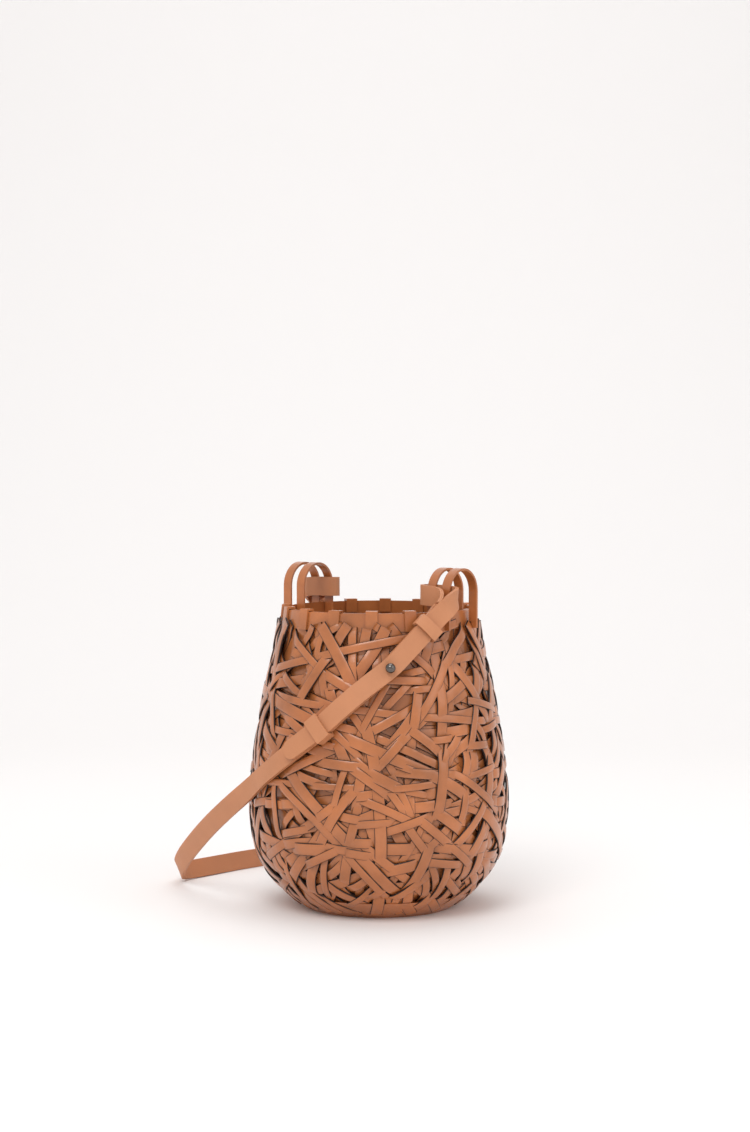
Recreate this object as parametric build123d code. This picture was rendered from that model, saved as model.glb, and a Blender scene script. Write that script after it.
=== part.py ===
"""Bucket bag woven from flat leather strips, with a stitched shoulder strap.

Millimetres. +Z is up, the origin is the middle of the base on the floor, and -Y is the front.
The woven pouch is built as layers of strips. The strap starts at its tongue, wraps the front
loop, crosses the front, lies on the floor behind the pouch and climbs to the back loop.
"""

from build123d import *
import math
import os

os.makedirs("parts", exist_ok=True)

# Pouch, outside sizes: the radius at each height, from the flat base to the mouth.
BODY_HEIGHT = 232.0
BASE_RADIUS = 58.0
BELLY_RADIUS = 100.6
MOUTH_RADIUS = 77.0
SHAPE = [  # share of the height, share of the way from base radius to belly radius
    (0.0, 0.0),
    (0.025, 0.20),
    (0.07, 0.47),
    (0.12, 0.70),
    (0.19, 0.89),
    (0.26, 0.965),
    (0.345, 1.0),
]
SHOULDER = [  # share of the height, share of the way from mouth radius to belly radius
    (0.43, 0.965),
    (0.52, 0.86),
    (0.625, 0.70),
    (0.735, 0.50),
    (0.84, 0.26),
    (0.925, 0.10),
    (1.0, 0.0),
]

# Woven strips.
STRIP = 1.4  # leather thickness
LAYER_GAP = 0.3  # between strips that lie on each other
LAYERS = 4  # one backing layer and three layers of strips
BASE_TOP = 14.0  # height of the dished base
SKIN_TOP = 218.0  # where the strips tuck under the rim
UPRIGHT_COUNT, UPRIGHT_WIDTH = 18, 9.0
SLANT_COUNT, SLANT_WIDTH, SLANT_ANGLE = 12, 8.0, 42.0
WRAP_COUNT, WRAP_WIDTH = 16, 9.0
WRAP_DEPTH = 9.0  # how far a rim strip reaches down inside

# Carrying loops of two strips each, opposite each other on the rim.
LOOP_AZIMUTH = -38.0
LOOP_RADIUS = 17.5  # to the middle of the strip
LOOP_RISE = 32.5  # top of the loop above the rim
LOOP_STRIP_WIDTH = 7.3
LOOP_STRIP = 1.7

# Strap.
STRAP_WIDTH = 15.0
FACE_LEATHER = 1.4
BACK_LEATHER = 1.2
GLUE = 0.12  # between the two leathers
STRAP = FACE_LEATHER + GLUE + BACK_LEATHER
PLY_GAP = 0.5  # between the tongue and the strap under it
STAND_OFF = 4.2  # from the pouch to the middle of the strap where it lies on it
FLOOR_GAP = 0.12  # under the lower edge of the strap
STATIONS = 4  # sections for each control point
TIP_STEPS, TIP_SPAN = 7, 2  # narrowing sections of the round tip, and full ones that they span

# Keepers.
KEEPER_WALL = 1.6
KEEPER_SIDE_ROOM = 0.8
FIXED_KEEPER_LENGTH, FIXED_KEEPER_ROOM, FIXED_KEEPER_DOME = 11.5, 0.4, 0.6
SLIDING_KEEPER_LENGTH, SLIDING_KEEPER_ROOM, SLIDING_KEEPER_DOME = 9.5, 0.6, 1.6

# Stud: a ball on a neck and flange, held by a screw through the strap.
STUD_BALL = 3.8  # radius
STUD_NECK = 2.0  # radius
STUD_FLANGE, FLANGE_THICKNESS = 4.0, 0.8
STUD_LIFT = 1.2  # how far the flange pushes the tongue up
SCREW_HEAD, SCREW_HEAD_THICKNESS = 4.2, 1.0
SCREW_SHANK = 1.2  # radius
SCREW_ROOM = 0.08  # radial, in the stud
SEAT_GAP = 0.03  # between stud, strap and screw head
SCREW_SLOT, SLOT_DEPTH = 0.8, 0.5

PITCH = STRIP + LAYER_GAP
WALL = LAYERS * STRIP + (LAYERS - 1) * LAYER_GAP


# ---------------------------------------------------------------- pouch shape
def profile():
    """Heights and outside radii of the pouch."""
    low = [(h * BODY_HEIGHT, BASE_RADIUS + s * (BELLY_RADIUS - BASE_RADIUS)) for h, s in SHAPE]
    high = [(h * BODY_HEIGHT, MOUTH_RADIUS + s * (BELLY_RADIUS - MOUTH_RADIUS)) for h, s in SHOULDER]
    return low + high


PROFILE = profile()


def slope_at(i):
    """Change of radius with height at a profile point."""
    (z0, r0), (z1, r1) = PROFILE[max(i - 1, 0)], PROFILE[min(i + 1, len(PROFILE) - 1)]
    return (r1 - r0) / (z1 - z0)


def radius(z):
    """Outside radius of the pouch at a height, by cubic pieces through the profile."""
    z = min(max(z, 0.0), BODY_HEIGHT)
    i = max(k for k in range(len(PROFILE) - 1) if PROFILE[k][0] <= z)
    (z0, r0), (z1, r1) = PROFILE[i], PROFILE[i + 1]
    long = z1 - z0
    t = (z - z0) / long
    a = (1 + 2 * t) * (1 - t) ** 2 * r0 + t * t * (3 - 2 * t) * r1
    return a + long * t * (1 - t) * ((1 - t) * slope_at(i) - t * slope_at(i + 1))


def lean_at(z):
    """Change of outside radius with height."""
    return (radius(z + 0.5) - radius(z - 0.5)) if 0.5 < z < BODY_HEIGHT - 0.5 else 0.0


def inside(z, depth):
    """Radius of the surface that lies a depth inside the outside one."""
    return radius(z) - depth * math.sqrt(1 + lean_at(z) ** 2)


def layer_depths(layer):
    """Outer and inner depth of a layer, counted from 0 at the inside of the wall."""
    outer = (LAYERS - 1 - layer) * PITCH
    return outer, outer + STRIP


def curve_points(depth, z0, z1, count):
    heights = [z0 + (z1 - z0) * k / (count - 1) for k in range(count)]
    return [(inside(z, depth), 0.0, z) for z in heights]


def shell(outer, inner, z0, z1, count=14):
    """Ring between two depths and two heights."""
    out_points = curve_points(outer, z0, z1, count)
    in_points = curve_points(inner, z0, z1, count)
    edges = [
        Spline(*out_points),
        Line(out_points[-1], in_points[-1]),
        Spline(*reversed(in_points)),
        Line(in_points[0], out_points[0]),
    ]
    return revolve(make_face(edges), Axis.Z, 360)


# ---------------------------------------------------------------- woven pouch
def base_weave():
    """Dished base with its full wall thickness and a flat foot."""
    outer = [(radius(z), 0.0, z) for z in [BASE_TOP * k / 6 for k in range(7)]]
    inner = [(inside(z, WALL), 0.0, z) for z in [WALL + (BASE_TOP - WALL) * k / 3 for k in range(4)]]
    edges = [
        Line((0, 0, 0), outer[0]),
        Spline(*outer),
        Line(outer[-1], inner[-1]),
        Spline(*reversed(inner)),
        Line(inner[0], (0, 0, WALL)),
        Line((0, 0, WALL), (0, 0, 0)),
    ]
    return revolve(make_face(edges), Axis.Z, 360)


def wall_weave():
    """Backing layer of the wall, under the other strips."""
    outer, inner = layer_depths(0)
    return shell(outer, inner, BASE_TOP, BODY_HEIGHT, 18)


def slab(width, angle, near=20.0):
    """Flat blade that cuts one strip out of a layer, standing on one side of the axis."""
    reach = 2 * BELLY_RADIUS
    blade = Pos((near + reach) / 2, 0, 0) * Box(reach - near, width, 3 * BODY_HEIGHT)
    return Pos(0, 0, BODY_HEIGHT / 2) * Rot(angle, 0, 0) * blade


def strips(layer, count, width, angle, near, start=0.0):
    """A layer cut into strips, one at each azimuth."""
    outer, inner = layer_depths(layer)
    skin = shell(outer, inner, BASE_TOP, SKIN_TOP)
    step = 360 / count
    return [skin & (Rot(0, 0, start + step * k) * slab(width, angle, near)) for k in range(count)]


def rim_band():
    outer, inner = layer_depths(1)
    return shell(outer, inner, SKIN_TOP + LAYER_GAP, BODY_HEIGHT - LAYER_GAP, 4)


def rim_wraps():
    """Short strips that fold over the rim, left out where the loops stand."""
    outer_leg, under = layer_depths(2)
    inner_leg = WALL + LAYER_GAP
    foot = SKIN_TOP + LAYER_GAP
    toe = BODY_HEIGHT - WRAP_DEPTH
    edge = BODY_HEIGHT + LAYER_GAP
    top = edge + STRIP

    def at(depth, z):
        return (inside(min(z, BODY_HEIGHT), depth), 0.0, z)

    outline = Polyline(
        at(outer_leg, foot),
        at(outer_leg, top),
        at(inner_leg + STRIP, top),
        at(inner_leg + STRIP, toe),
        at(inner_leg, toe),
        at(inner_leg, edge),
        at(under, edge),
        at(under, foot),
        close=True,
    )
    ring = revolve(make_face(outline), Axis.Z, 360)
    clear = math.degrees((LOOP_RADIUS + STRAP_WIDTH) / MOUTH_RADIUS)
    found = []
    for k in range(WRAP_COUNT):
        azimuth = LOOP_AZIMUTH + 90 + 360 * (k + 0.5) / WRAP_COUNT
        off = abs((azimuth - LOOP_AZIMUTH + 90) % 180 - 90)
        if off > clear:
            found.append(ring & (Rot(0, 0, azimuth) * slab(WRAP_WIDTH, 0)))
    return found


# ---------------------------------------------------------------- carrying loops
LOOP_OUT, LOOP_IN = LOOP_RADIUS + LOOP_STRIP / 2, LOOP_RADIUS - LOOP_STRIP / 2
LOOP_FOOT = SKIN_TOP + LAYER_GAP
BAND_OUTSIDE = inside(LOOP_FOOT, layer_depths(1)[0]) + LAYER_GAP
WALL_INSIDE = inside(BODY_HEIGHT, WALL) - LAYER_GAP
OUTER_STRIP_AT = math.sqrt(BAND_OUTSIDE**2 - LOOP_IN**2)
INNER_STRIP_AT = math.sqrt(WALL_INSIDE**2 - LOOP_OUT**2) - LOOP_STRIP_WIDTH
LOOP_ENDS = INNER_STRIP_AT, OUTER_STRIP_AT + LOOP_STRIP_WIDTH
ARCH_HEIGHT = BODY_HEIGHT + LOOP_RISE - LOOP_OUT


def loop_strip(distance, azimuth):
    """One strip bent to an arch, standing across the rim at a distance from the axis."""
    legs = Pos(0, 0, (LOOP_FOOT + ARCH_HEIGHT) / 2) * (
        Box(LOOP_STRIP_WIDTH, 2 * LOOP_OUT, ARCH_HEIGHT - LOOP_FOOT)
        - Box(2 * LOOP_STRIP_WIDTH, 2 * LOOP_IN, ARCH_HEIGHT - LOOP_FOOT)
    )
    tube = Rot(0, 90, 0) * (
        Cylinder(LOOP_OUT, LOOP_STRIP_WIDTH) - Cylinder(LOOP_IN, 2 * LOOP_STRIP_WIDTH)
    )
    upper = Pos(0, 0, LOOP_OUT) * Box(2 * LOOP_STRIP_WIDTH, 4 * LOOP_OUT, 2 * LOOP_OUT)
    arch = Pos(0, 0, ARCH_HEIGHT) * (tube & upper)
    return Rot(0, 0, azimuth) * Pos(distance + LOOP_STRIP_WIDTH / 2, 0, 0) * (legs + arch)


# ---------------------------------------------------------------- strap route
# A control point is a place on the middle of the strap and the way its top edge points.
BELLY_HEIGHT = SHAPE[-1][0] * BODY_HEIGHT
TONGUE = STRAP + PLY_GAP  # from the middle of the strap to the middle of the tongue over it
EDGE = STRAP_WIDTH / 2 + FLOOR_GAP  # height of the middle where the strap stands on its edge


def control(azimuth, z, off, lean=0.0):
    """Place at a stand-off from the pouch, or from its belly when lower than the belly."""
    a = math.radians(azimuth)
    r = radius(max(z, BELLY_HEIGHT)) + off
    tip = lean + (lean_at(z) if z > BELLY_HEIGHT else 0.0)
    return Vector(r * math.cos(a), r * math.sin(a), z), Vector(tip * math.cos(a), tip * math.sin(a), 1)


def between(first, last, count):
    """Control points evenly along a straight run, all turned the same way."""
    (p, u), (q, w) = first, last
    return [(p + (q - p) * (k / (count - 1)), (u + w) * 0.5) for k in range(count)]


def around_leg(azimuth):
    """Control points round the near leg of a loop: past it, in through the loop and out again."""
    room = LOOP_STRIP / 2 + STRAP / 2 + PLY_GAP
    near, far = LOOP_ENDS[0] - 4.5, LOOP_ENDS[1] + 4.4
    beside, within = -LOOP_RADIUS - room - 0.8, -LOOP_RADIUS + room + 1.2
    low = BODY_HEIGHT + STRIP + STRAP_WIDTH / 2 + 2.4
    path = [  # out from the axis, along the rim, height
        (far + 1.2, beside - 2.0, low - 4.0),
        (far + 0.6, within, low + 0.2),
        (far - 8.0, within, low + 1.2),
        (near + 8.0, within, low + 1.6),
        (near, within - 0.2, low + 1.6),
        (near, beside, low + 1.4),
        (near + 8.0, beside, low + 0.9),
        (far - 12.5, beside - 0.3, low + 0.2),
        (far - 6.4, beside - 4.2, low - 3.2),
    ]
    found = []
    for out, along, z in path:
        a = math.radians(azimuth)
        place = Vector(out * math.cos(a) - along * math.sin(a), out * math.sin(a) + along * math.cos(a), z)
        found.append((place, Vector(0, 0, 1)))
    return found


def way_out(points, i):
    """Direction square to the strap at a control point."""
    along = points[min(i + 1, len(points) - 1)][0] - points[max(i - 1, 0)][0]
    return along.cross(points[i][1]).normalized()


def shifted(points, depth, bump_at=None, bump=0.0):
    """The same control points moved square to the strap."""
    moved = []
    for i, (place, up) in enumerate(points):
        reach = depth + (bump if i == bump_at else 0.0)
        moved.append((place + way_out(points, i) * reach, up))
    return moved


# Strap under the tongue, from the front loop down the face of the pouch. Straight to the stud.
STRAIGHT_COUNT, SLIDE_START = 5, 1
FRONT_RUN = between(control(-58.0, 230.9, 7.6), control(-85.0, 192.0, 5.6), STRAIGHT_COUNT) + [
    control(-93.5, 181.5, STAND_OFF + 1.0),
    control(-102.0, 170.0, STAND_OFF + 0.5),
    control(-109.5, 158.5, STAND_OFF + 0.3),
    control(-116.5, 147.0, STAND_OFF + 0.3),
    control(-124.5, 136.5, STAND_OFF + 0.2),
    control(-132.5, 126.5, STAND_OFF),
    control(-141.0, 116.5, STAND_OFF - 0.8),
    control(-150.0, 107.0, STAND_OFF - 1.0, 0.04),
]
STUD_AT, FIXED_KEEPER_AT, TIP_AT = STRAIGHT_COUNT - 1, 8, 10
# Free run down to the floor, the turn there, and the run along the floor behind the pouch.
FLOOR_RUN = [
    control(-160.5, 95.5, 4.0, 0.14),
    control(-174.5, 77.5, 16.0, 0.36),
    control(-187.5, 57.0, 35.0, 0.52),
    control(-197.5, 37.0, 56.0, 0.58),
    control(-203.5, 22.0, 73.0, 0.56),
    control(-207.5, EDGE + 2.6, 84.0, 0.50),
    control(-211.0, EDGE, 86.0, 0.44),
    control(-218.0, EDGE, 82.0, 0.34),
    control(-230.0, EDGE, 84.0, 0.18),
    control(-244.0, EDGE, 91.0, 0.06),
    control(-258.0, EDGE, 94.0),
    control(-271.0, EDGE, 89.0),
    control(-282.0, EDGE, 78.0),
    control(-290.0, EDGE, 64.0),
    control(-297.0, EDGE + 0.4, 50.0, -0.10),
]
# Turn behind the pouch and climb to the back loop.
BACK_RUN = [
    control(-300.5, EDGE + 5.0, 39.0, -0.20),
    control(-298.0, 28.0, 31.0, -0.16),
    control(-293.0, 50.0, 22.0, -0.10),
    control(-287.0, 76.0, 11.0, -0.04),
    control(-281.0, 100.0, 5.0),
    control(-273.0, 124.0, STAND_OFF),
    control(-264.5, 147.0, STAND_OFF + 2.6),
    control(-256.0, 169.0, STAND_OFF + 3.4),
] + between(control(-248.0, 190.0, 8.2), control(-238.0, 230.9, 11.2), 3)
SEWN_COUNT = 4


def route():
    """Control points of the whole strap, tongue tip first."""
    tongue = shifted(FRONT_RUN, -TONGUE, STUD_AT, -STUD_LIFT)[TIP_AT::-1]
    sewn = shifted(BACK_RUN, -TONGUE)[: -SEWN_COUNT - 1 : -1]
    front, back = around_leg(LOOP_AZIMUTH), around_leg(LOOP_AZIMUTH + 180)
    return tongue + front + FRONT_RUN + FLOOR_RUN + BACK_RUN + back + sewn


def mixed(three, t):
    """Point of the quadratic B-spline of three control points."""
    weights = (1 - t) ** 2 / 2, 0.5 + t * (1 - t), t * t / 2
    place = sum((p[0] * w for p, w in zip(three, weights)), Vector(0, 0, 0))
    up = sum((p[1] * w for p, w in zip(three, weights)), Vector(0, 0, 0))
    return place, up


def sections(points):
    """Sections along the strap: middle, direction along, direction across, direction out."""
    ends = [points[0]] + points + [points[-1]]
    spots = []
    for i in range(len(ends) - 2):
        spots += [mixed(ends[i : i + 3], k / STATIONS) for k in range(STATIONS)]
    spots.append(mixed(ends[-3:], 1.0))
    found = []
    for i, (middle, up) in enumerate(spots):
        along = (spots[min(i + 1, len(spots) - 1)][0] - spots[max(i - 1, 0)][0]).normalized()
        across = (up - along * up.dot(along)).normalized()
        found.append((middle, along, across, along.cross(across)))
    return found


SECTIONS = sections(route())
UNDER_FROM = (TIP_AT + 1 + 9) * STATIONS  # where the strap starts down the face of the pouch


def under_spot(index):
    """Section of the strap under the tongue, nearest to a control point of the front run."""
    place = FRONT_RUN[index][0]
    return min(SECTIONS[UNDER_FROM:], key=lambda s: (s[0] - place).length)


def seat(spot):
    """Local axes at a section under the tongue: x down the strap, y across, z to the outside."""
    middle, along, across, out = spot
    return Location(Plane(origin=middle, x_dir=along, z_dir=-out))


def with_width():
    """Each section with half its width: narrowing round the tip, then full."""
    full = STRAP_WIDTH / 2
    first, then = SECTIONS[0], SECTIONS[TIP_SPAN]
    run = then[0] - first[0]
    found = []
    for k in range(1, TIP_STEPS):
        turn = math.pi / 2 * k / TIP_STEPS
        share = full * (1 - math.cos(turn)) / run.length
        across = (first[2] * (1 - share) + then[2] * share).normalized()
        middle = first[0] + run * share
        found.append(((middle, first[1], across, first[1].cross(across)), full * math.sin(turn)))
    beyond = [s for s in SECTIONS if (s[0] - first[0]).length > full]
    return found + [(s, full) for s in beyond]


def ribbon(low, high):
    """Leather between two depths from the middle of the strap."""
    wires = []
    for (middle, _, across, out), half in with_width():
        corners = [
            middle + across * (half * side) + out * depth
            for side, depth in ((-1, high), (1, high), (1, low), (-1, low))
        ]
        wires.append(Wire.make_polygon(corners, close=True))
    return Solid.make_loft(wires, ruled=True)


# ---------------------------------------------------------------- keepers and stud
def keeper_outline(grow, room, dome):
    half = STRAP_WIDTH / 2 + KEEPER_SIDE_ROOM + grow
    back = -STRAP / 2 - room - grow
    front = STRAP / 2 + TONGUE + room + grow
    arc = ThreePointArc((half, front), (0, front + dome), (-half, front))
    return make_face([Line((-half, front), (-half, back)), Line((-half, back), (half, back)), Line((half, back), (half, front)), arc])


def keeper(index, length, room, dome):
    """Leather loop round the strap and its tongue."""
    ring = keeper_outline(KEEPER_WALL, room, dome) - keeper_outline(0.0, room, dome)
    return seat(under_spot(index)) * extrude(Plane.YZ * ring, length / 2, both=True)


FLANGE_FOOT = STRAP / 2 + SEAT_GAP
FLANGE_TOP = FLANGE_FOOT + FLANGE_THICKNESS
TONGUE_TOP = STRAP / 2 + TONGUE + STUD_LIFT
BALL_AT = TONGUE_TOP + 0.3 + math.sqrt(STUD_BALL**2 - STUD_NECK**2)


def stud_head():
    shape = Pos(0, 0, (FLANGE_FOOT + FLANGE_TOP) / 2) * Cylinder(STUD_FLANGE, FLANGE_THICKNESS)
    shape += Pos(0, 0, (FLANGE_TOP + BALL_AT) / 2) * Cylinder(STUD_NECK, BALL_AT - FLANGE_TOP)
    shape += Pos(0, 0, BALL_AT) * Sphere(STUD_BALL)
    return shape - Pos(0, 0, BALL_AT / 2) * Cylinder(SCREW_SHANK + SCREW_ROOM, BALL_AT)


def stud_screw():
    low = -FLANGE_FOOT - SCREW_HEAD_THICKNESS
    head = Pos(0, 0, low + SCREW_HEAD_THICKNESS / 2) * Cylinder(SCREW_HEAD, SCREW_HEAD_THICKNESS)
    reach = BALL_AT - 1.0
    shank = Pos(0, 0, (low + reach) / 2) * Cylinder(SCREW_SHANK, reach - low)
    return head + shank - Pos(0, 0, low) * Box(3 * SCREW_HEAD, SCREW_SLOT, 2 * SLOT_DEPTH)


# ---------------------------------------------------------------- write the parts
def write(name, shapes):
    """One STEP file for a node, holding its solids."""
    pieces = [s for shape in shapes for s in shape.solids()]
    export_step(pieces[0] if len(pieces) == 1 else Compound(pieces), f"parts/{name}.step")


def write_strap():
    write("strap_backing", [ribbon(-STRAP / 2, -STRAP / 2 + BACK_LEATHER)])
    write("strap_face", [ribbon(STRAP / 2 - FACE_LEATHER, STRAP / 2)])


def main():
    write("base_weave", [base_weave()])
    write("wall_weave", [wall_weave()])
    write("upright_strips", strips(1, UPRIGHT_COUNT, UPRIGHT_WIDTH, 0, 10.0))
    write("right_slanting_strips", strips(2, SLANT_COUNT, SLANT_WIDTH, SLANT_ANGLE, 30.0, 10.0))
    write("left_slanting_strips", strips(3, SLANT_COUNT, SLANT_WIDTH, -SLANT_ANGLE, 30.0, 22.0))
    write("rim_band", [rim_band()])
    write("rim_wrap_strips", rim_wraps())
    for name, turn in (("right_loop", LOOP_AZIMUTH), ("left_loop", LOOP_AZIMUTH + 180)):
        write(name + "_inner_strip", [loop_strip(INNER_STRIP_AT, turn)])
        write(name + "_outer_strip", [loop_strip(OUTER_STRIP_AT, turn)])
    write_strap()
    fixed = FIXED_KEEPER_LENGTH, FIXED_KEEPER_ROOM, FIXED_KEEPER_DOME
    sliding = SLIDING_KEEPER_LENGTH, SLIDING_KEEPER_ROOM, SLIDING_KEEPER_DOME
    write("fixed_keeper", [keeper(FIXED_KEEPER_AT, *fixed)])
    write("sliding_keeper", [keeper(SLIDE_START, *sliding)])
    stud = seat(under_spot(STUD_AT))
    write("stud_head", [stud * stud_head()])
    write("stud_screw", [stud * stud_screw()])


if __name__ == "__main__":
    main()
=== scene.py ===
"""Bucket bag woven from flat leather strips: the visual model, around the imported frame.

Sizes are in millimetres until MM turns them to metres. +Z is up and -Y is the front.
"""

import math
import random

import bpy
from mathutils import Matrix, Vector
from mathutils.kdtree import KDTree


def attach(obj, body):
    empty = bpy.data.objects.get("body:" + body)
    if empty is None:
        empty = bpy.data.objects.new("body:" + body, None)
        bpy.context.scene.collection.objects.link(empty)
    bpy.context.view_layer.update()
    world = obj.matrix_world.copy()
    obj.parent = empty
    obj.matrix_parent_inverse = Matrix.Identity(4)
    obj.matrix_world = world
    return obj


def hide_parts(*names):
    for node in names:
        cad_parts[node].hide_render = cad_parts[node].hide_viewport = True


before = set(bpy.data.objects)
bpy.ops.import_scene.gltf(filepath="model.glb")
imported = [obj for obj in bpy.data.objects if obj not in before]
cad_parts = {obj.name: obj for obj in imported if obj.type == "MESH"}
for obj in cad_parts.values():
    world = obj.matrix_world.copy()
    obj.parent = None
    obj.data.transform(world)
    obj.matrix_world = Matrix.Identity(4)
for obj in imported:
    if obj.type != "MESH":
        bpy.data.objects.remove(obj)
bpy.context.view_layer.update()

bl_info = {
    "name": "Woven Bucket Bag",
    "version": (1, 0, 0),
    "blender": (4, 5, 0),
    "location": "View3D > Sidebar > Bag",
    "description": "Builds a bucket bag woven from flat leather strips",
    "category": "Add Mesh",
}

MM = 0.001
BODY_HEIGHT = 232.0
PROFILE = [  # height, outside radius
    (0.0, 58.0),
    (5.8, 66.5),
    (16.2, 78.0),
    (27.8, 87.8),
    (44.0, 95.9),
    (60.3, 99.1),
    (80.0, 100.6),
    (99.8, 99.8),
    (120.6, 97.3),
    (145.0, 93.5),
    (170.5, 88.8),
    (194.9, 83.1),
    (214.6, 79.4),
    (232.0, 77.0),
]
TURN = 2 * math.pi


# ---------------------------------------------------------------- settings
class BagSettings(bpy.types.PropertyGroup):
    strip_count: bpy.props.IntProperty(name="Strips", description="Long strips in the weave", default=190)
    strip_thickness: bpy.props.FloatProperty(
        name="Strip thickness", description="Leather thickness of a strip", default=1.5 * MM, unit="LENGTH"
    )
    relief: bpy.props.FloatProperty(
        name="Relief",
        description="Height between the lowest and highest strip",
        default=5.6 * MM,
        unit="LENGTH",
    )
    strip_colour: bpy.props.StringProperty(name="Strip colour", description="sRGB hex", default="B0693A")
    strap_colour: bpy.props.StringProperty(name="Strap colour", description="sRGB hex", default="C08058")


def settings():
    return bpy.context.scene.bag_settings


# ---------------------------------------------------------------- materials
def linear(code):
    """sRGB hex to linear RGBA."""
    parts = [int(code[i : i + 2], 16) / 255 for i in (0, 2, 4)]
    return [p / 12.92 if p <= 0.04045 else ((p + 0.055) / 1.055) ** 2.4 for p in parts] + [1.0]


def node(tree, kind, links=(), **values):
    """Add a node, set its sockets and properties, and link sockets into it."""
    made = tree.nodes.new(kind)
    for key, value in values.items():
        name = key.replace("_", " ")
        if name in made.inputs:
            made.inputs[name].default_value = value
        else:
            setattr(made, key, value)
    for source, socket in links:
        tree.links.new(source, made.inputs[socket])
    return made


def leather(name, colour, roughness, grain_mm, bump, variation, coat=0.0):
    """Calf leather, drum dyed: mottled colour, fine grain and a wax finish."""
    material = bpy.data.materials.new(name)
    material.use_nodes = True
    tree = material.node_tree
    shader = tree.nodes["Principled BSDF"]
    place = node(tree, "ShaderNodeNewGeometry").outputs["Position"]
    mottle = node(tree, "ShaderNodeTexNoise", [(place, "Vector")], Scale=1 / (28 * MM), Detail=4.0)
    grain = node(tree, "ShaderNodeTexNoise", [(place, "Vector")], Scale=1 / (grain_mm * MM), Detail=3.0)
    ramp = node(tree, "ShaderNodeValToRGB", [(mottle.outputs["Fac"], "Fac")])
    base = linear(colour)
    ramp.color_ramp.elements[0].position = 0.3
    ramp.color_ramp.elements[0].color = [c * (1 - variation) for c in base[:3]] + [1]
    ramp.color_ramp.elements[1].position = 0.72
    ramp.color_ramp.elements[1].color = [min(1, c * (1 + variation)) for c in base[:3]] + [1]
    tree.links.new(ramp.outputs["Color"], shader.inputs["Base Color"])
    rough = node(tree, "ShaderNodeMapRange", [(grain.outputs["Fac"], "Value")])
    rough.inputs["To Min"].default_value = roughness - 0.06
    rough.inputs["To Max"].default_value = roughness + 0.08
    tree.links.new(rough.outputs["Result"], shader.inputs["Roughness"])
    height = [(grain.outputs["Fac"], "Height")]
    bumps = node(tree, "ShaderNodeBump", height, Strength=bump, Distance=0.3 * MM)
    tree.links.new(bumps.outputs["Normal"], shader.inputs["Normal"])
    shader.inputs["IOR"].default_value = 1.5
    shader.inputs["Coat Weight"].default_value = coat
    shader.inputs["Coat Roughness"].default_value = 0.18
    return material


def plain(name, colour, roughness, metallic=0.0):
    """One even coat with a faint unevenness in its gloss."""
    material = bpy.data.materials.new(name)
    material.use_nodes = True
    tree = material.node_tree
    shader = tree.nodes["Principled BSDF"]
    place = node(tree, "ShaderNodeNewGeometry").outputs["Position"]
    noise = node(tree, "ShaderNodeTexNoise", [(place, "Vector")], Scale=1 / (3 * MM), Detail=2.0)
    rough = node(tree, "ShaderNodeMapRange", [(noise.outputs["Fac"], "Value")])
    rough.inputs["To Min"].default_value = roughness * 0.85
    rough.inputs["To Max"].default_value = roughness * 1.15
    tree.links.new(rough.outputs["Result"], shader.inputs["Roughness"])
    shader.inputs["Base Color"].default_value = linear(colour)
    shader.inputs["Metallic"].default_value = metallic
    return material


MATERIALS = {}


def material(name):
    """Each material by name, made once."""
    if name not in MATERIALS:
        if name == "polished_calf":  # glazed calf: sharp pale highlights over a warm tan
            MATERIALS[name] = leather(name, settings().strip_colour, 0.3, 2.2, 0.35, 0.22, 0.35)
        elif name == "satin_calf":  # drummed calf: soft sheen, fine grain
            MATERIALS[name] = leather(name, settings().strap_colour, 0.5, 0.9, 0.25, 0.06)
        elif name == "dark_edge_paint":  # dark acrylic edge paint, rubbed smooth
            MATERIALS[name] = plain(name, "2A1811", 0.4)
        elif name == "gunmetal_plate":  # gunmetal plated brass, polished
            MATERIALS[name] = plain(name, "6A6460", 0.2, 1.0)
        elif name == "studio_paper":  # seamless paper
            MATERIALS[name] = plain(name, "F2F0EF", 0.9)
    return MATERIALS[name]


# ---------------------------------------------------------------- pouch surface
def cubic(z):
    """Outside radius at a height, by cubic pieces through the profile."""
    z = min(max(z, 0.0), BODY_HEIGHT)
    i = max(k for k in range(len(PROFILE) - 1) if PROFILE[k][0] <= z)
    slopes = []
    for j in (i, i + 1):
        (za, ra), (zb, rb) = PROFILE[max(j - 1, 0)], PROFILE[min(j + 1, len(PROFILE) - 1)]
        slopes.append((rb - ra) / (zb - za))
    (z0, r0), (z1, r1) = PROFILE[i], PROFILE[i + 1]
    long = z1 - z0
    t = (z - z0) / long
    value = (1 + 2 * t) * (1 - t) ** 2 * r0 + t * t * (3 - 2 * t) * r1
    return value + long * t * (1 - t) * ((1 - t) * slopes[0] - t * slopes[1])


TABLE_STEP = 0.5
RADII = [cubic(k * TABLE_STEP) for k in range(int(BODY_HEIGHT / TABLE_STEP) + 2)]


def radius(z):
    """Outside radius at a height."""
    z = min(max(z, 0.0), BODY_HEIGHT)
    k = int(z / TABLE_STEP)
    share = z / TABLE_STEP - k
    return RADII[k] * (1 - share) + RADII[k + 1] * share


def surface(azimuth, z):
    """Point and outward normal of the pouch."""
    r = radius(z)
    lean = (radius(z + 1) - radius(z - 1)) / 2 if 1 < z < BODY_HEIGHT - 1 else 0.0
    out = Vector((math.cos(azimuth), math.sin(azimuth), -lean)).normalized()
    return Vector((r * math.cos(azimuth), r * math.sin(azimuth), z)), out


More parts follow.
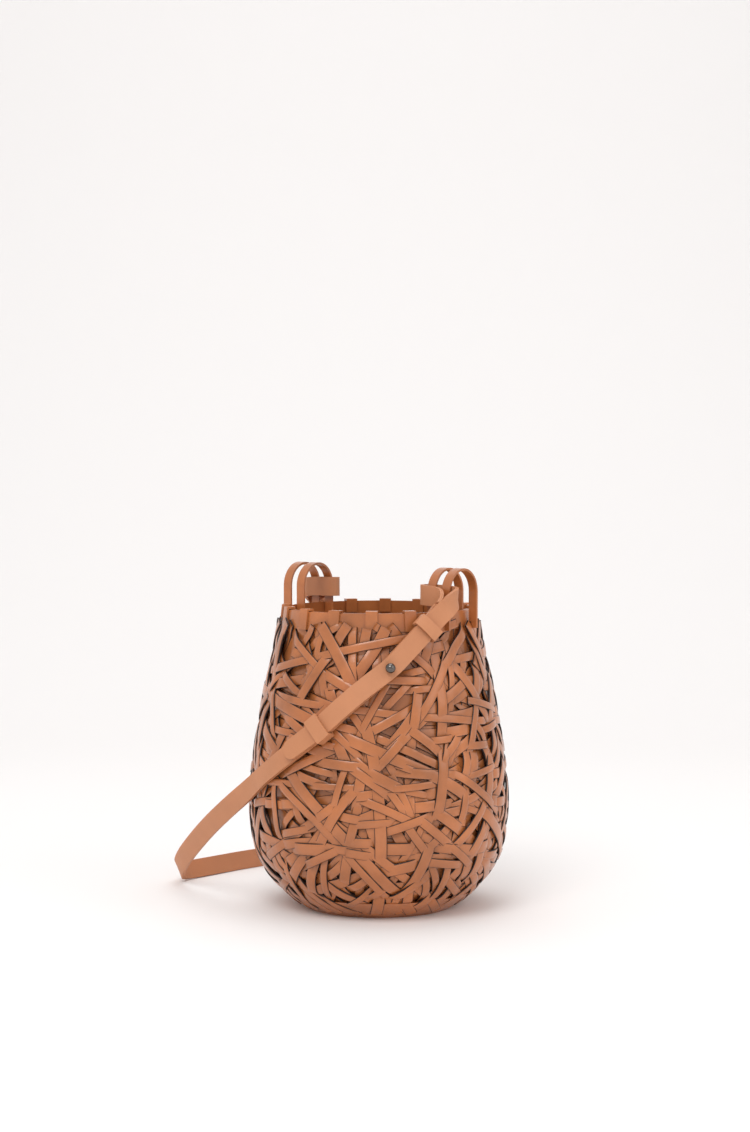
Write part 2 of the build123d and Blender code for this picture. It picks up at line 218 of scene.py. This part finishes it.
def mesh_object(name, points, faces, slots, marks):
    """Mesh from millimetre points. marks holds each face's material slot."""
    mesh = bpy.data.meshes.new(name)
    mesh.from_pydata([tuple(p * MM) for p in points], [], faces)
    for slot in slots:
        mesh.materials.append(material(slot))
    mesh.polygons.foreach_set("material_index", marks)
    mesh.polygons.foreach_set("use_smooth", [True] * len(faces))
    mesh.update()
    made = bpy.data.objects.new(name, mesh)
    bpy.context.scene.collection.objects.link(made)
    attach(made, "bag")
    return made


# Ribbon section: share of the half width, share of the thickness. EDGE_SIDES are its painted sides.
SECTION = [
    (-0.9, 1.0),
    (-0.35, 1.08),
    (0.35, 1.08),
    (0.9, 1.0),
    (1.0, 0.8),
    (1.0, 0.2),
    (0.9, 0.0),
    (-0.9, 0.0),
    (-1.0, 0.2),
    (-1.0, 0.8),
]
EDGE_SIDES = {3, 4, 5, 7, 8, 9}


def add_ribbon(points, faces, marks, line, half, thick):
    """Flat strip along a line of (middle, across, out), closed at both ends."""
    start = len(points)
    count = len(SECTION)
    for middle, across, out in line:
        for u, v in SECTION:
            points.append(middle + across * (u * half) + out * (v * thick))
    rows = len(line)
    for i in range(rows - 1):
        a, b = start + i * count, start + (i + 1) * count
        for k in range(count):
            n = (k + 1) % count
            faces.append((a + k, a + n, b + n, b + k))
            marks.append(1 if k in EDGE_SIDES else 0)
    faces.append(tuple(start + k for k in range(count)))
    faces.append(tuple(start + (rows - 1) * count + k for k in reversed(range(count))))
    marks.extend([1, 1])


# ---------------------------------------------------------------- weave
class Strip:
    """A strip's path over the pouch: azimuth and height at each step."""

    def __init__(self, path, width, preference):
        self.path = path
        self.width = width
        self.preference = preference
        self.heights = []


STEP = 3.0  # between points along a strip
STRIP_LENGTH, BAND_LENGTH = 330, 420  # longest rising strip, longest level strip
NARROWEST, WIDEST = 5.5, 9.5
LOWEST = -6.4  # inner face of a strip under all the others, from the outer surface
CROSS_REACH = 6.5  # strips nearer than this cross
OVER_UNDER = 68  # length along a strip from one crest to the next


def wander(rng, azimuth, z, heading, length):
    """Path that starts at a place and drifts across the wall until it leaves the wall or is long enough."""
    path = [(azimuth, z)]
    bend = rng.uniform(-0.004, 0.004)
    low, high = 3.0, BODY_HEIGHT - 8
    for _ in range(int(length / STEP)):
        heading += bend * STEP + rng.uniform(-0.02, 0.02)
        azimuth += math.cos(heading) * STEP / radius(z)
        lean = (radius(z + 1) - radius(z - 1)) / 2
        z += math.sin(heading) * STEP / math.sqrt(1 + lean * lean)
        if not low < z < high:
            break
        path.append((azimuth, z))
    return path


def weave_strips():
    rng = random.Random(11)
    strips = []
    for k in range(settings().strip_count):
        azimuth = TURN * k * 0.618
        kind = k % 4
        if kind == 0:
            heading = math.pi / 2 + rng.uniform(-0.25, 0.25)
        elif kind == 1:
            heading = rng.uniform(0.6, 1.1)
        elif kind == 2:
            heading = math.pi - rng.uniform(0.6, 1.1)
        else:
            heading = rng.uniform(-0.2, 0.2)
        z = 4.0 if kind != 3 else rng.uniform(10, BODY_HEIGHT - 20)
        path = wander(rng, azimuth, z, heading, STRIP_LENGTH if kind != 3 else BAND_LENGTH)
        if len(path) > 12:
            strips.append(Strip(path, rng.uniform(NARROWEST, WIDEST), rng.random()))
    return strips


def set_heights(strips):
    """Over and under: each strip's height follows its order where it crosses the others."""
    relief = settings().relief / MM
    spots = []
    for s, strip in enumerate(strips):
        for i, (azimuth, z) in enumerate(strip.path):
            spots.append((surface(azimuth, z)[0], s, i))
    tree = KDTree(len(spots))
    for k, (place, _, _) in enumerate(spots):
        tree.insert(place, k)
    tree.balance()
    for s, strip in enumerate(strips):
        level = []
        for i, (azimuth, z) in enumerate(strip.path):
            mine = strip.preference + 0.5 * math.sin(i * STEP * TURN / OVER_UNDER + s)
            below = total = 0
            for _, k, _ in tree.find_range(surface(azimuth, z)[0], CROSS_REACH):
                _, other, j = spots[k]
                if other == s:
                    continue
                theirs = strips[other].preference + 0.5 * math.sin(j * STEP * TURN / OVER_UNDER + other)
                total += 1
                below += theirs < mine
            level.append(below / total if total else 0.4)
        for _ in range(3):
            level = [
                (level[max(i - 1, 0)] + 2 * level[i] + level[min(i + 1, len(level) - 1)]) / 4
                for i in range(len(level))
            ]
        strip.heights = [LOWEST + relief * v for v in level]


def build_weave():
    strips = weave_strips()
    set_heights(strips)
    points, faces, marks = [], [], []
    thick = settings().strip_thickness / MM
    for strip in strips:
        line = []
        for i, (azimuth, z) in enumerate(strip.path):
            here, out = surface(azimuth, z)
            there = surface(*strip.path[min(i + 1, len(strip.path) - 1)])[0]
            back = surface(*strip.path[max(i - 1, 0)])[0]
            along = (there - back).normalized()
            line.append((here + out * strip.heights[i], out.cross(along).normalized(), out))
        add_ribbon(points, faces, marks, line, strip.width / 2, thick)
    made = mesh_object("woven_strips", points, faces, ["polished_calf", "dark_edge_paint"], marks)
    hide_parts("upright_strips", "right_slanting_strips", "left_slanting_strips")
    return made


class BAG_OT_weave(bpy.types.Operator):
    """Weave the pouch from long strips"""

    bl_idname = "bag.weave"
    bl_label = "Weave"

    def execute(self, context):
        build_weave()
        return {"FINISHED"}


# ---------------------------------------------------------------- CAD pieces
CAD_LOOKS = {
    "base_weave": "polished_calf",
    "wall_weave": "polished_calf",
    "rim_band": "polished_calf",
    "rim_wrap_strips": "polished_calf",
    "left_loop_inner_strip": "polished_calf",
    "left_loop_outer_strip": "polished_calf",
    "right_loop_inner_strip": "polished_calf",
    "right_loop_outer_strip": "polished_calf",
    "strap_face": "satin_calf",
    "strap_backing": "satin_calf",
    "fixed_keeper": "satin_calf",
    "sliding_keeper": "satin_calf",
    "stud_head": "gunmetal_plate",
    "stud_screw": "gunmetal_plate",
}


class BAG_OT_cad_looks(bpy.types.Operator):
    """Give each carried-over piece its material"""

    bl_idname = "bag.cad_looks"
    bl_label = "Materials"

    def execute(self, context):
        for name, look in CAD_LOOKS.items():
            made = bpy.data.objects[name]
            made.data.materials.clear()
            made.data.materials.append(material(look))
        return {"FINISHED"}


# ---------------------------------------------------------------- stage
CAMERA_DISTANCE = 1800.0
CAMERA_HEIGHT = 359.5
CAMERA_TILT = 3.05
LENS = 73.9
FLOOR = 3000.0  # half width of the paper, and how high it goes
SWEEP_AT, SWEEP, SWEEP_STEPS = 900.0, 900.0, 16  # where the paper bends up, and its bend


def lamp(name, place, aim, size, power):
    data = bpy.data.lights.new(name, "AREA")
    data.shape = "DISK"
    data.size = size
    data.energy = power
    made = bpy.data.objects.new(name, data)
    made.location = place
    made.rotation_euler = (Vector(aim) - Vector(place)).to_track_quat("-Z", "Y").to_euler()
    bpy.context.scene.collection.objects.link(made)
    return made


class BAG_OT_stage(bpy.types.Operator):
    """Floor, lamps and camera"""

    bl_idname = "bag.stage"
    bl_label = "Stage"

    def execute(self, context):
        scene = context.scene
        profile = [(-FLOOR, 0.0), (SWEEP_AT, 0.0)]
        for k in range(1, SWEEP_STEPS + 1):
            turn = math.pi / 2 * k / SWEEP_STEPS
            profile.append((SWEEP_AT + SWEEP * math.sin(turn), SWEEP * (1 - math.cos(turn))))
        profile.append((SWEEP_AT + SWEEP, FLOOR))
        corners = [Vector((side * FLOOR, y, z)) for y, z in profile for side in (-1, 1)]
        faces = [(2 * k, 2 * k + 1, 2 * k + 3, 2 * k + 2) for k in range(len(profile) - 1)]
        mesh = bpy.data.meshes.new("studio_floor")
        mesh.from_pydata([tuple(p * MM) for p in corners], [], faces)
        mesh.polygons.foreach_set("use_smooth", [True] * len(faces))
        mesh.materials.append(material("studio_paper"))
        floor = bpy.data.objects.new("studio_floor", mesh)
        scene.collection.objects.link(floor)
        key = lamp("key_lamp", (-0.5, -1.3, 1.7), (0, 0, 0.1), 1.1, 15)
        fill = lamp("fill_lamp", (1.5, -0.9, 1.0), (0, 0, 0.12), 1.4, 5)
        top = lamp("top_lamp", (0, 0.5, 2.0), (0, 0, 0.1), 1.4, 9)
        data = bpy.data.cameras.new("camera")
        data.lens = LENS
        data.sensor_fit = "VERTICAL"
        data.sensor_height = 36.0
        data.sensor_width = 36.0
        camera = bpy.data.objects.new("camera", data)
        camera.location = (-3 * MM, -CAMERA_DISTANCE * MM, CAMERA_HEIGHT * MM)
        camera.rotation_euler = (math.radians(90 - CAMERA_TILT), 0, 0)
        scene.collection.objects.link(camera)
        scene.camera = camera
        world = bpy.data.worlds.new("studio")
        scene.world = world
        world.use_nodes = True
        world.node_tree.nodes["Background"].inputs["Color"].default_value = linear("F2F1F1")
        world.node_tree.nodes["Background"].inputs["Strength"].default_value = 0.85
        scene.view_settings.view_transform = "Standard"
        return {"FINISHED"}


class BAG_PT_panel(bpy.types.Panel):
    """The bag's steps"""

    bl_label = "Woven Bucket Bag"
    bl_idname = "BAG_PT_panel"
    bl_space_type = "VIEW_3D"
    bl_region_type = "UI"
    bl_category = "Bag"

    def draw(self, context):
        for operator in OPERATORS:
            self.layout.operator(operator.bl_idname)


OPERATORS = [BAG_OT_weave, BAG_OT_cad_looks, BAG_OT_stage]
CLASSES = [BagSettings, *OPERATORS, BAG_PT_panel]


def register():
    for item in CLASSES:
        bpy.utils.register_class(item)
    bpy.types.Scene.bag_settings = bpy.props.PointerProperty(type=BagSettings)


def unregister():
    del bpy.types.Scene.bag_settings
    for item in reversed(CLASSES):
        bpy.utils.unregister_class(item)


def main():
    register()
    bpy.ops.bag.weave()
    bpy.ops.bag.cad_looks()
    bpy.ops.bag.stage()


if __name__ == "__main__":
    main()
